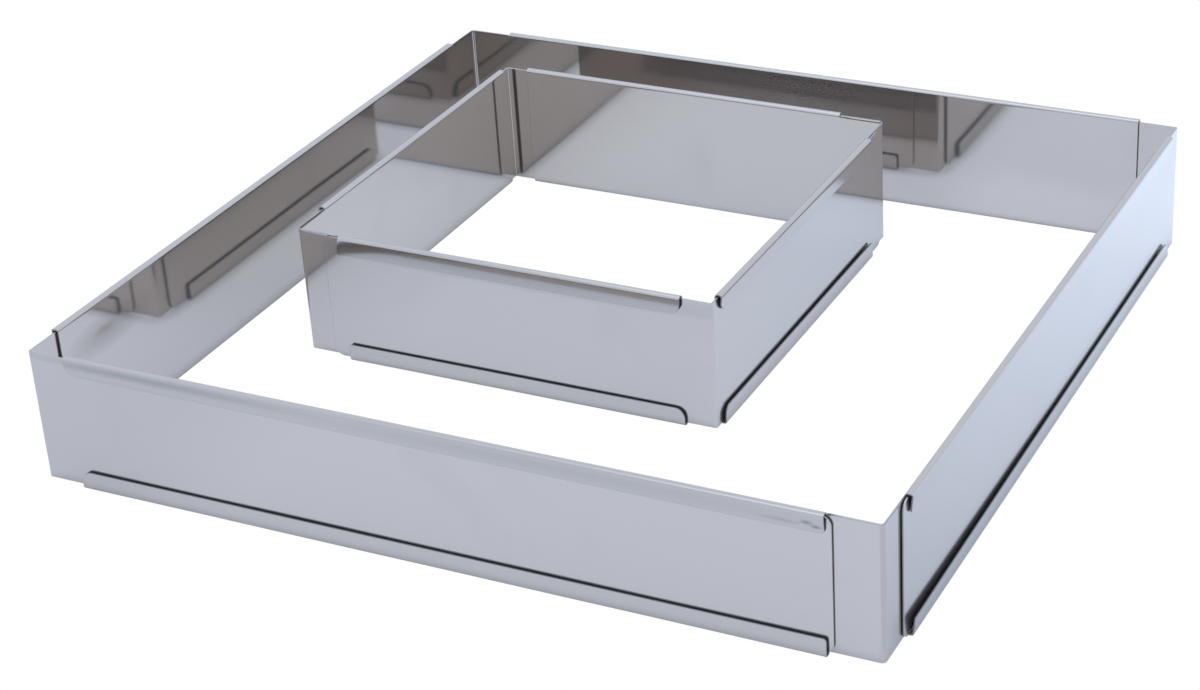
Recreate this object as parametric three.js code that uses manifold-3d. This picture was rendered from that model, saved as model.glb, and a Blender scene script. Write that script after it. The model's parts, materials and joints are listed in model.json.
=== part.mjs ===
// Two nested square cake rings of folded stainless sheet. Each ring has four L-shaped corners.
// Two are rail corners: the top and bottom edges of their arms are hemmed outward into a channel.
// Two are plain corners: their flat arms run in the channels of the rail corners beside them.
// Sliding the arms along each other sets the width and the depth of the ring.
// Millimetres, +Z up. The origin is on the table, at the middle of the large ring.

import * as THREE from 'three';
import { mergeVertices } from 'three/addons/utils/BufferGeometryUtils.js';
import Module from 'manifold-3d';

// Sheet and height
const SHEET = 0.6;
const PLAIN_HEIGHT = 50;

// Room around a plain arm in its channel
const WEB_CLEARANCE = 0.6;
const LIP_CLEARANCE = 0.8;
const EDGE_CLEARANCE = 0.3;

// Bends, by their inner radius
const RAIL_BEND_RADIUS = 1.2;
const PLAIN_BEND_RADIUS = 0.8;
const FOLD_RADIUS = 0.7;

// Hems of a rail corner. A lip starts past the bare stretch beside the bend, and runs to the arm's end.
const LIP_HEIGHT = 5.5;
const LIP_SETBACK = 19.5;
const LIP_START_RADIUS = 1.2;
const LIP_END_RADIUS = 4;
// How far the bare edges beside the bend stand in from the hems' outer faces
const BARE_EDGE_INSET = 0.5;

// Round corners at the end of a plain arm
const PLAIN_END_RADIUS = 3.5;

// Arm lengths, from the outer face of the ring's other wall to the arm's end
const LARGE_RAIL_ARM = 300;
const LARGE_PLAIN_ARM = 298;
const SMALL_RAIL_ARM = 161;
const SMALL_PLAIN_ARM = 158.5;

// How far each ring stands open, beyond the size where its rails meet the plain corners
const LARGE_OPENED_WIDTH = 13.4;
const LARGE_OPENED_DEPTH = 10.7;
const SMALL_OPENED_WIDTH = 7.9;
const SMALL_OPENED_DEPTH = 3.3;
const STOP_CLEARANCE = 0.3;

// Where the small ring stands, between the outer faces of its walls and those of the large ring
const SMALL_FROM_LEFT = 35.5;
const SMALL_FROM_BACK = 32.7;

// Facets of a round corner, and how far a cutting outline runs past what it cuts
const BEND_STEPS = 6;
const FOLD_STEPS = 3;
const CUT_MARGIN = 1;

// Depths inward from the outer face of a ring's wall, which is the outer face of its plain arms
const webOuter = SHEET + WEB_CLEARANCE;
const webInner = webOuter + SHEET;
const lipInner = -LIP_CLEARANCE;
const lipOuter = lipInner - SHEET;

// Heights that follow from the channel
const plainBase = SHEET + EDGE_CLEARANCE;
const railHeight = PLAIN_HEIGHT + 2 * plainBase;
const foldRadius = Math.min(FOLD_RADIUS, (webOuter - lipInner - EDGE_CLEARANCE) / 2);
const foldHeight = SHEET + foldRadius;

// A round corner of a lip ends above the fold
const lipStartRadius = Math.min(LIP_START_RADIUS, LIP_HEIGHT - foldHeight);
const lipEndRadius = Math.min(LIP_END_RADIUS, LIP_HEIGHT - foldHeight);

// A closed ring keeps this gap between a rail's end and the outer face of the wall that it runs up to
const closedGap = Math.max(webInner, SHEET + PLAIN_BEND_RADIUS) + STOP_CLEARANCE;

const ALONG_X = new THREE.Vector3(1, 0, 0);
const ALONG_Y = new THREE.Vector3(0, 1, 0);
const ALONG_Z = new THREE.Vector3(0, 0, 1);
const AGAINST_X = ALONG_X.clone().negate();
const AGAINST_Y = ALONG_Y.clone().negate();
const AGAINST_Z = ALONG_Z.clone().negate();

const wasm = await Module();
wasm.setup();

// A closed solid, ready to join or cut, from a geometry whose shared corners are merged
function solidOf(geometry) {
  const bare = geometry.clone();
  bare.deleteAttribute('normal');
  bare.deleteAttribute('uv');
  const merged = mergeVertices(bare);
  const vertProperties = new Float32Array(merged.attributes.position.array);
  const triVerts = new Uint32Array(merged.index.array);
  return new wasm.Manifold(new wasm.Mesh({ numProp: 3, vertProperties, triVerts }));
}

function geometryOf(solid) {
  const { vertProperties, triVerts } = solid.getMesh();
  const geometry = new THREE.BufferGeometry();
  geometry.setAttribute('position', new THREE.BufferAttribute(vertProperties, 3));
  geometry.setIndex(new THREE.BufferAttribute(triVerts, 1));
  geometry.computeVertexNormals();
  return geometry;
}

// A prism of an outline. The outline's X and Y, and the way the prism runs, turn to the three axes given.
function prism(outline, length, steps, axes) {
  const options = { depth: length, bevelEnabled: false, curveSegments: steps };
  const turn = new THREE.Matrix4().makeBasis(...axes);
  return new THREE.ExtrudeGeometry(outline, options).applyMatrix4(turn);
}

// The outline is drawn in X and Y, and the prism runs up from z = base
function prismUp(outline, height, base) {
  return prism(outline, height, BEND_STEPS, [ALONG_X, ALONG_Y, ALONG_Z]).translate(0, 0, base);
}

// The outline is drawn in Y and Z, and the prism runs along X from near to far
function prismAlongX(outline, near, far, steps) {
  return prism(outline, far - near, steps, [ALONG_Y, ALONG_Z, ALONG_X]).translate(near, 0, 0);
}

// The outline is drawn in X and Z, and the prism runs along Y from near to far
function prismAlongY(outline, near, far, steps) {
  return prism(outline, far - near, steps, [ALONG_X, ALONG_Z, AGAINST_Y]).translate(0, far, 0);
}

// An L of bent sheet, seen from above. Its corner is at the origin and its arms run along +X and +Y.
// outer is the depth of its outer face, inward from the faces of the ring.
function bentSheet(outer, bendRadius, arm) {
  const inner = outer + SHEET;
  const centre = inner + bendRadius;
  const outline = new THREE.Shape();
  outline.moveTo(arm, outer);
  outline.lineTo(arm, inner);
  outline.lineTo(centre, inner);
  outline.absarc(centre, centre, bendRadius, -Math.PI / 2, Math.PI, true);
  outline.lineTo(inner, arm);
  outline.lineTo(outer, arm);
  outline.lineTo(outer, centre);
  outline.absarc(centre, centre, bendRadius + SHEET, Math.PI, 1.5 * Math.PI, false);
  return outline;
}

// The side of a plain arm: square at the bend, with both corners of its free end rounded
function plainArmSide(arm) {
  const radius = PLAIN_END_RADIUS;
  const side = new THREE.Shape();
  side.moveTo(-CUT_MARGIN, 0);
  side.lineTo(arm - radius, 0);
  side.absarc(arm - radius, radius, radius, -Math.PI / 2, 0, false);
  side.absarc(arm - radius, PLAIN_HEIGHT - radius, radius, 0, Math.PI / 2, false);
  side.lineTo(-CUT_MARGIN, PLAIN_HEIGHT);
  return side;
}

// A plain corner standing on z = 0, with arms along +X and +Y
function plainCorner(arm) {
  const sheet = solidOf(prismUp(bentSheet(0, PLAIN_BEND_RADIUS, arm), PLAIN_HEIGHT, 0));
  const side = plainArmSide(arm);
  const sideOfX = solidOf(prismAlongY(side, -CUT_MARGIN, arm + CUT_MARGIN, BEND_STEPS));
  const sideOfY = solidOf(prismAlongX(side, -CUT_MARGIN, arm + CUT_MARGIN, BEND_STEPS));
  return geometryOf(sheet.intersect(sideOfX).intersect(sideOfY));
}

// The hem's section: down the web, round the fold below the plain arm and up the lip in front of it
function hemSection() {
  const section = new THREE.Shape();
  section.moveTo(webInner, LIP_HEIGHT);
  section.lineTo(webOuter, LIP_HEIGHT);
  section.lineTo(webOuter, foldHeight);
  section.absarc(webOuter - foldRadius, foldHeight, foldRadius, 0, -Math.PI / 2, true);
  section.lineTo(lipInner + foldRadius, SHEET);
  section.absarc(lipInner + foldRadius, foldHeight, foldRadius, -Math.PI / 2, Math.PI, true);
  section.lineTo(lipInner, LIP_HEIGHT);
  section.lineTo(lipOuter, LIP_HEIGHT);
  section.lineTo(lipOuter, foldHeight);
  section.absarc(lipOuter + foldHeight, foldHeight, foldHeight, Math.PI, 1.5 * Math.PI, false);
  section.lineTo(webInner - foldHeight, 0);
  section.absarc(webInner - foldHeight, foldHeight, foldHeight, 1.5 * Math.PI, 2 * Math.PI, false);
  return section;
}

// The hem's side: its free edge has both corners rounded
function hemSide(length, firstRadius, lastRadius) {
  const side = new THREE.Shape();
  side.moveTo(0, -CUT_MARGIN);
  side.lineTo(length, -CUT_MARGIN);
  side.lineTo(length, LIP_HEIGHT - lastRadius);
  side.absarc(length - lastRadius, LIP_HEIGHT - lastRadius, lastRadius, 0, Math.PI / 2, false);
  side.absarc(firstRadius, LIP_HEIGHT - firstRadius, firstRadius, Math.PI / 2, Math.PI, false);
  return side;
}

// One straight hem that starts at the origin and runs along +X, below a web that stands on it
function hem(length, firstRadius, lastRadius) {
  const section = solidOf(prismAlongX(hemSection(), 0, length, FOLD_STEPS));
  const side = hemSide(length, firstRadius, lastRadius);
  const cutter = prismAlongY(side, lipOuter - CUT_MARGIN, webInner + CUT_MARGIN, BEND_STEPS);
  return geometryOf(section.intersect(solidOf(cutter)));
}

// A bent web between two levels that lie as far in from the rail's base as from its top
function web(arm, inset) {
  return solidOf(prismUp(bentSheet(webOuter, RAIL_BEND_RADIUS, arm), railHeight - 2 * inset, inset));
}

// A rail corner standing on z = 0, with arms along +X and +Y: a bent web, hemmed on both edges of each arm.
// outward hems are made from the bend to the arm's end, and homeward ones the other way.
function railCorner(arm) {
  const outward = hem(arm - LIP_SETBACK, lipStartRadius, lipEndRadius);
  const homeward = hem(arm - LIP_SETBACK, lipEndRadius, lipStartRadius);
  const hems = [
    { shape: outward, axes: [ALONG_X, ALONG_Y, ALONG_Z], start: [LIP_SETBACK, 0, 0] },
    { shape: homeward, axes: [AGAINST_X, ALONG_Y, AGAINST_Z], start: [arm, 0, railHeight] },
    { shape: homeward, axes: [AGAINST_Y, ALONG_X, ALONG_Z], start: [0, arm, 0] },
    { shape: outward, axes: [ALONG_Y, ALONG_X, AGAINST_Z], start: [0, LIP_SETBACK, railHeight] },
  ];
  let rail = web(arm, foldHeight).add(web(LIP_SETBACK, BARE_EDGE_INSET));
  for (const { shape, axes, start } of hems) {
    const place = new THREE.Matrix4().makeBasis(...axes).setPosition(...start);
    rail = rail.add(solidOf(shape.clone().applyMatrix4(place)));
  }
  return geometryOf(rail);
}

function polishedSteel() {
  return new THREE.MeshStandardMaterial({ color: 0xc2bfc1, metalness: 1, roughness: 0.18 });
}

// The four places of a ring's corners: a turn about the vertical, and the signs of the corner's x and y
const CORNERS = {
  front_left: { turn: 0, x: -1, y: -1 },
  front_right: { turn: Math.PI / 2, x: 1, y: -1 },
  back_right: { turn: Math.PI, x: 1, y: 1 },
  back_left: { turn: -Math.PI / 2, x: -1, y: 1 },
};

// One ring about its own middle. rails names the two opposite places that hold rail corners.
function ring(name, { width, depth, railArm, plainArm, rails }) {
  const group = new THREE.Group();
  const railGeometry = railCorner(railArm);
  const plainGeometry = plainCorner(plainArm);
  for (const [place, { turn, x, y }] of Object.entries(CORNERS)) {
    const isRail = rails.includes(place);
    const corner = new THREE.Mesh(isRail ? railGeometry : plainGeometry, polishedSteel());
    corner.name = `${name}_${place}_${isRail ? 'rail' : 'plain'}_corner`;
    corner.rotation.z = turn;
    corner.position.set(x * width / 2, y * depth / 2, isRail ? 0 : plainBase);
    group.add(corner);
  }
  return group;
}

const largeWidth = LARGE_RAIL_ARM + closedGap + LARGE_OPENED_WIDTH;
const largeDepth = LARGE_RAIL_ARM + closedGap + LARGE_OPENED_DEPTH;
const largeRing = ring('large_ring', {
  width: largeWidth,
  depth: largeDepth,
  railArm: LARGE_RAIL_ARM,
  plainArm: LARGE_PLAIN_ARM,
  rails: ['front_right', 'back_left'],
});

const smallWidth = SMALL_RAIL_ARM + closedGap + SMALL_OPENED_WIDTH;
const smallDepth = SMALL_RAIL_ARM + closedGap + SMALL_OPENED_DEPTH;
const smallRing = ring('small_ring', {
  width: smallWidth,
  depth: smallDepth,
  railArm: SMALL_RAIL_ARM,
  plainArm: SMALL_PLAIN_ARM,
  rails: ['front_left', 'back_right'],
});
smallRing.position.x = SMALL_FROM_LEFT + (smallWidth - largeWidth) / 2;
smallRing.position.y = (largeDepth - smallDepth) / 2 - SMALL_FROM_BACK;

const cakeRings = new THREE.Group();
cakeRings.name = 'cake_rings';
cakeRings.add(largeRing, smallRing);

export default cakeRings;
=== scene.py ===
"""Two nested adjustable cake rings of folded stainless sheet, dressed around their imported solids.

Each corner of a ring is cut out as a flat blank and then folded by a Geometry Nodes rule, the way
the sheet itself is made. Lengths are in metres and angles in radians, in the frame of the solids:
+Z up, with the origin on the table at the middle of the large ring.
"""

import json
import logging
import math
from abc import ABC, abstractmethod
from dataclasses import dataclass, field
from enum import Enum
from typing import Callable, ClassVar, Iterator, Sequence

import bpy
from mathutils import Matrix, Vector


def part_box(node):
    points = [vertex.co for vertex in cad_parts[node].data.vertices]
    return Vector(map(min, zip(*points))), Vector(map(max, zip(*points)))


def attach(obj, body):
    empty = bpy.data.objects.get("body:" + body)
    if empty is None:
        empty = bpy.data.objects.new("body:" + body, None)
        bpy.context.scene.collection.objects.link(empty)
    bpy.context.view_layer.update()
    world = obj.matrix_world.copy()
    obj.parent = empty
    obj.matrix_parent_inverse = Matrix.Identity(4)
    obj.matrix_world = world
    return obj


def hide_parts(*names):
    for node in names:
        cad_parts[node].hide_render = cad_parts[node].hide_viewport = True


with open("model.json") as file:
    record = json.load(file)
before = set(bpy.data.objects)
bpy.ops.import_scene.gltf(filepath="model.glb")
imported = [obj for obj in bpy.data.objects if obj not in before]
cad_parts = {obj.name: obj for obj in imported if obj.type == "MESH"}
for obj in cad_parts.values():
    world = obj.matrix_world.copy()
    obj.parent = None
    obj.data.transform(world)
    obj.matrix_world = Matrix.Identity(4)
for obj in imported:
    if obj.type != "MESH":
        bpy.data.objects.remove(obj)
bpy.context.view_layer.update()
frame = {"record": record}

LOG = logging.getLogger("cake_rings")
MM = 0.001
SHEET_UV = "sheet"
RIM = "rim"
FOLDED = "folded"
# The middle of a noise texture's values, from which it varies up and down
NOISE_MIDDLE = 0.5
# The share of a full fold from which the sheet counts as worked: its first quarter turn
WORKED_FOLD = 0.5
ROUGHNESS_LIMITS = (0.02, 1.0)
# Stands for a length that the folding rule divides by, on a corner that has no lips
NO_LENGTH = 1.0

Point = tuple[float, float]
Spot = tuple[float, float, float]
Colour = tuple[float, float, float]
Face = tuple[int, ...]
Tree = bpy.types.NodeTree
Socket = bpy.types.NodeSocket


def in_mm(*lengths: float) -> tuple[float, ...]:
    """Lengths that are given in millimetres."""
    return tuple(length * MM for length in lengths)


class Place(Enum):
    """The four corners of a ring: the signs of the corner's x and y, and its quarter turns."""

    FRONT_LEFT = (-1, -1, 0)
    FRONT_RIGHT = (1, -1, 1)
    BACK_RIGHT = (1, 1, 2)
    BACK_LEFT = (-1, 1, 3)

    @property
    def label(self) -> str:
        """The place as it stands in a node's name."""
        return self.name.lower()

    @property
    def turn(self) -> float:
        """How far the corner is turned about the vertical."""
        return self.value[2] * math.pi / 2

    def corner_of(self, low: Vector, high: Vector) -> Vector:
        """The corner of a box that lies at this place, at the box's base.

        Args:
            low: The box's lowest corner.
            high: The box's highest corner.

        Returns:
            A point on the base of the box.
        """
        x_side, y_side, _ = self.value
        return Vector((high.x if x_side > 0 else low.x, high.y if y_side > 0 else low.y, low.z))


class Layer(Enum):
    """The kinds of vertex layer in a blank, from its outer face to its inner face."""

    FACE = "face"
    EDGE = "edge"


class Formula:
    """A number that varies in a node tree, to be written with the usual signs of arithmetic."""

    def __init__(self, tree: Tree, socket: Socket) -> None:
        """Wraps a socket.

        Args:
            tree: The tree that the socket is in.
            socket: An output socket that gives a number.
        """
        self.tree = tree
        self.socket = socket

    def feed(self, target: Socket) -> None:
        """Links this number to an input socket."""
        self.tree.links.new(self.socket, target)

    def _math(self, operation: str, *operands: "Formula | float") -> "Formula":
        """A Math node on some operands.

        Args:
            operation: The node's operation.
            operands: Numbers or formulas, in the order of the node's inputs.

        Returns:
            The node's result.
        """
        node = self.tree.nodes.new("ShaderNodeMath")
        node.operation = operation
        for target, operand in zip(node.inputs, operands):
            if isinstance(operand, Formula):
                operand.feed(target)
            else:
                target.default_value = operand
        return Formula(self.tree, node.outputs[0])

    def __add__(self, other: "Formula | float") -> "Formula":
        """The sum."""
        return self._math("ADD", self, other)

    def __sub__(self, other: "Formula | float") -> "Formula":
        """The difference."""
        return self._math("SUBTRACT", self, other)

    def __rsub__(self, other: float) -> "Formula":
        """The difference from a plain number."""
        return self._math("SUBTRACT", other, self)

    def __mul__(self, other: "Formula | float") -> "Formula":
        """The product."""
        return self._math("MULTIPLY", self, other)

    def __truediv__(self, other: "Formula | float") -> "Formula":
        """The quotient."""
        return self._math("DIVIDE", self, other)

    def below(self, other: "Formula | float") -> "Formula":
        """The lesser of this and another number."""
        return self._math("MINIMUM", self, other)

    def above(self, other: "Formula | float") -> "Formula":
        """The greater of this and another number."""
        return self._math("MAXIMUM", self, other)

    def size(self) -> "Formula":
        """The number without its sign."""
        return self._math("ABSOLUTE", self)

    def sign(self) -> "Formula":
        """Minus one, nought or one."""
        return self._math("SIGN", self)

    def sin(self) -> "Formula":
        """The sine."""
        return self._math("SINE", self)

    def cos(self) -> "Formula":
        """The cosine."""
        return self._math("COSINE", self)

    def power(self, exponent: "Formula | float") -> "Formula":
        """The number raised to a power."""
        return self._math("POWER", self, exponent)

    def root(self) -> "Formula":
        """The square root."""
        return self.power(0.5)

    def within(self, low: "Formula | float", high: "Formula | float") -> "Formula":
        """The number held between two limits."""
        return self.above(low).below(high)

    def ramp(self, start: float, stop: float) -> "Formula":
        """How far the number has come from a start to a stop, from nought to one."""
        return ((self - start) / (stop - start)).within(0.0, 1.0)


def split(tree: Tree, vector: Socket) -> list[Formula]:
    """The three numbers of a vector.

    Args:
        tree: The tree that the vector is in.
        vector: An output socket that gives a vector.

    Returns:
        Its x, y and z.
    """
    node = tree.nodes.new("ShaderNodeSeparateXYZ")
    tree.links.new(vector, node.inputs[0])
    return [Formula(tree, output) for output in node.outputs]


def joined(tree: Tree, *parts: Formula | float) -> Socket:
    """A vector of three numbers.

    Args:
        tree: The tree to work in.
        parts: Its x, y and z.

    Returns:
        The output socket that gives the vector.
    """
    node = tree.nodes.new("ShaderNodeCombineXYZ")
    for target, part in zip(node.inputs, parts):
        if isinstance(part, Formula):
            part.feed(target)
        else:
            target.default_value = part
    return node.outputs[0]


def noise_level(
    tree: Tree,
    place: Socket,
    detail: float,
    roughness: float = 0.5,
    distortion: float = 0.0,
) -> Formula:
    """A number that varies at random from place to place, about the middle of its range.

    Args:
        tree: The tree to work in.
        place: The socket that gives the place, in lengths of the pattern.
        detail: How many finer layers the pattern has.
        roughness: How strong the finer layers are.
        distortion: How far the pattern is swirled.

    Returns:
        The number.
    """
    noise = tree.nodes.new("ShaderNodeTexNoise")
    noise.inputs["Scale"].default_value = 1.0
    noise.inputs["Detail"].default_value = detail
    noise.inputs["Roughness"].default_value = roughness
    noise.inputs["Distortion"].default_value = distortion
    tree.links.new(place, noise.inputs["Vector"])
    return Formula(tree, noise.outputs[0])


def blended(tree: Tree, base: Socket | Colour, over: Colour, share: Formula) -> Socket:
    """One colour laid over another.

    Args:
        tree: The tree to work in.
        base: The colour underneath, or the socket that gives it.
        over: The colour on top.
        share: How much of the colour on top shows, from nought to one.

    Returns:
        The socket that gives the blend.
    """
    mix = tree.nodes.new("ShaderNodeMix")
    mix.data_type = "RGBA"
    if isinstance(base, tuple):
        mix.inputs["A"].default_value = (*base, 1.0)
    else:
        tree.links.new(base, mix.inputs["A"])
    mix.inputs["B"].default_value = (*over, 1.0)
    share.feed(mix.inputs["Factor"])
    return mix.outputs["Result"]


@dataclass(frozen=True)
class Stock:
    """The sheet that every corner is cut from."""

    thickness: float = 0.6 * MM
    edge_round: float = 0.12 * MM
    edge_steps: int = 2
    wave_height: float = 0.1 * MM
    wave_length: float = 75 * MM

    def layers(self) -> list[tuple[Layer, float, float]]:
        """The vertex layers of a blank with rounded edges, from the outer face to the inner one.

        Returns:
            For each layer its kind, how far its outline is set in, and its height in the sheet.
        """
        half = self.thickness / 2
        rounding = []
        for step in range(1, self.edge_steps + 1):
            angle = step / self.edge_steps * math.pi / 2
            inset = self.edge_round * (1 - math.sin(angle))
            height = half - self.edge_round * (1 - math.cos(angle))
            rounding.append((inset, height))
        outer = [(Layer.FACE, self.edge_round, half)]
        outer += [(Layer.EDGE, inset, height) for inset, height in rounding]
        return outer + [(kind, inset, -height) for kind, inset, height in reversed(outer)]


@dataclass(frozen=True)
class Channel:
    """The hems of a rail corner, which hold a plain arm between web and lip."""

    web_clearance: float = 0.3 * MM
    lip_clearance: float = 0.8 * MM
    fold_radius: float = 0.35 * MM
    lip_height: float = 6.8 * MM
    top_lean: float = 0.6 * MM
    bottom_lean: float = 0.22 * MM
    lip_setback: float = 19.5 * MM
    lip_start_radius: float = 1.2 * MM
    lip_end_radius: float = 4.0 * MM
    bare_top_inset: float = 0.5 * MM
    bare_bottom_inset: float = 1.0 * MM
    bare_margin: float = 0.2 * MM
    slit: float = 0.3 * MM
    fold_steps: int = 7
    lip_rows: int = 5

    def lip_reach(self, stock: Stock) -> float:
        """How far a lip's outer face stands out from the ring's wall."""
        return self.lip_clearance + stock.thickness

    def lip_length(self, stock: Stock) -> float:
        """The straight part of a lip, past its fold."""
        return self.lip_height - stock.thickness - self.fold_radius

    def fold_start(self, height: float, stock: Stock) -> float:
        """Where a hem's fold starts, from the middle of a corner that is so high."""
        return height / 2 - stock.thickness - self.fold_radius

    def web_depth(self, stock: Stock) -> float:
        """How deep the middle of the web lies: one sheet, the clearance and half a sheet."""
        return stock.thickness * 1.5 + self.web_clearance

    def middle_fold_radius(self, stock: Stock) -> float:
        """The fold's radius at the middle of the sheet."""
        return self.fold_radius + stock.thickness / 2

    def flat_under_arm(self, stock: Stock) -> float:
        """The flat between a hem's two quarter folds, at the middle of the sheet."""
        across = self.web_depth(stock) + self.lip_clearance + stock.thickness / 2
        return across - 2 * self.middle_fold_radius(stock)


@dataclass(frozen=True)
class Flare:
    """A lip on one edge of one arm that has sprung open at its start, or is rolled out.

    The arm's side is one on the arm to the right of the bend, seen from outside the ring, and minus
    one on the other. The edge's side is one at the top and minus one at the bottom.
    """

    opening: float = 0.0
    roll: float = 0.0
    length: float = 70 * MM
    arm_side: int = 1
    edge_side: int = -1


@dataclass
class Blank:
    """A flat piece of sheet before it is folded, drawn along the strip and across it."""

    lay: Callable[[float], list[Point]]
    faces: list[Face]

    def rim_edges(self) -> list[tuple[int, int]]:
        """The edges of the outline.

        Returns:
            Pairs of points, each in the order in which its face has them.
        """
        edges = [pair for face in self.faces for pair in zip(face, face[1:] + face[:1])]
        known = set(edges)
        return [(first, last) for first, last in edges if (last, first) not in known]

    def solid(self, name: str, stock: Stock, pattern_place: Point) -> bpy.types.Mesh:
        """A closed mesh of the blank with its edges rounded.

        Args:
            name: The mesh's name.
            stock: The sheet that it is cut from.
            pattern_place: Where the blank lies on the sheet's pattern of grain.

        Returns:
            A mesh whose x runs along the strip, y across it and z through the sheet.
        """
        rim = self.rim_edges()
        rim_points = sorted({point for edge in rim for point in edge})
        vertices: list[Spot] = []
        index_of: list[dict[int, int]] = []
        for kind, inset, height in stock.layers():
            points = self.lay(inset)
            used = range(len(points)) if kind is Layer.FACE else rim_points
            index_of.append({point: len(vertices) + order for order, point in enumerate(used)})
            vertices += [(*points[point], height) for point in used]
        outer, inner = index_of[0], index_of[-1]
        faces = [tuple(outer[point] for point in face) for face in self.faces]
        faces += [tuple(inner[point] for point in reversed(face)) for face in self.faces]
        flat_count = len(faces)
        for upper, lower in zip(index_of, index_of[1:]):
            faces += [(upper[last], upper[first], lower[first], lower[last]) for first, last in rim]
        mesh = bpy.data.meshes.new(name)
        mesh.from_pydata(vertices, [], faces)
        self._mark(mesh, flat_count, pattern_place)
        return mesh

    def _mark(self, mesh: bpy.types.Mesh, flat_count: int, pattern_place: Point) -> None:
        """Marks the cut edges, keeps the faces' shading flat beside them and lays the pattern.

        Args:
            mesh: The blank's mesh.
            flat_count: How many of its faces belong to the two sides of the sheet.
            pattern_place: Where the blank lies on the sheet's pattern of grain.
        """
        rim = mesh.attributes.new(RIM, "BOOLEAN", "FACE")
        rim.data.foreach_set("value", [index >= flat_count for index in range(len(mesh.polygons))])
        mesh.shade_smooth()
        sides: dict[tuple[int, int], set[bool]] = {}
        for index, polygon in enumerate(mesh.polygons):
            for key in polygon.edge_keys:
                sides.setdefault(key, set()).add(index >= flat_count)
        for edge in mesh.edges:
            edge.use_edge_sharp = len(sides[edge.key]) > 1
        pattern = mesh.uv_layers.new(name=SHEET_UV)
        for loop in mesh.loops:
            place = mesh.vertices[loop.vertex_index].co
            pattern.data[loop.index].uv = (place.x + pattern_place[0], place.y + pattern_place[1])


def spaced(start: float, stop: float, pitch: float) -> list[float]:
    """Even steps from a start to a stop, without the start.

    Args:
        start: Where the steps start.
        stop: Where the last step ends.
        pitch: The widest that a step may be.

    Returns:
        The end of each step.
    """
    count = max(1, math.ceil((stop - start) / pitch))
    return [start + (stop - start) * step / count for step in range(1, count + 1)]


def mirrored(half: list[float]) -> list[float]:
    """A row of places from end to end, from its half that starts at the middle."""
    return [-place for place in reversed(half[1:])] + half


def numbered(columns: int, rows: int, first: int = 0) -> list[list[int]]:
    """The numbers of points that are laid column by column.

    Args:
        columns: How many columns there are.
        rows: How many points a column has.
        first: The number of the first point.

    Returns:
        The numbers of each column.
    """
    return [[first + column * rows + row for row in range(rows)] for column in range(columns)]


def grid_faces(columns: Sequence[Sequence[int]]) -> list[Face]:
    """The quads between columns of points.

    Args:
        columns: Point numbers of each column, from its lower to its upper end.

    Returns:
        The quads, each turned the same way.
    """
    faces = []
    for left, right in zip(columns, columns[1:]):
        for row in range(len(left) - 1):
            faces.append((left[row], right[row], right[row + 1], left[row + 1]))
    return faces


def round_end(distance: float, radius: float) -> float:
    """How far a rounded corner drops the outline, at a distance from its end.

    Args:
        distance: The distance from the end of the piece.
        radius: The corner's radius.

    Returns:
        The drop, which is the radius at the end and nought past the corner.
    """
    inside = max(0.0, radius - distance)
    return radius - math.sqrt(max(0.0, radius * radius - inside * inside))


def corner_steps(radius: float, steps: int) -> list[float]:
    """Distances from the end of a piece to the steps of its rounded corner.

    Args:
        radius: The corner's radius.
        steps: How many steps it has.

    Returns:
        The distances, from nought to the radius.
    """
    return [radius * (1 - math.cos(step / steps * math.pi / 2)) for step in range(steps + 1)]


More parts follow.
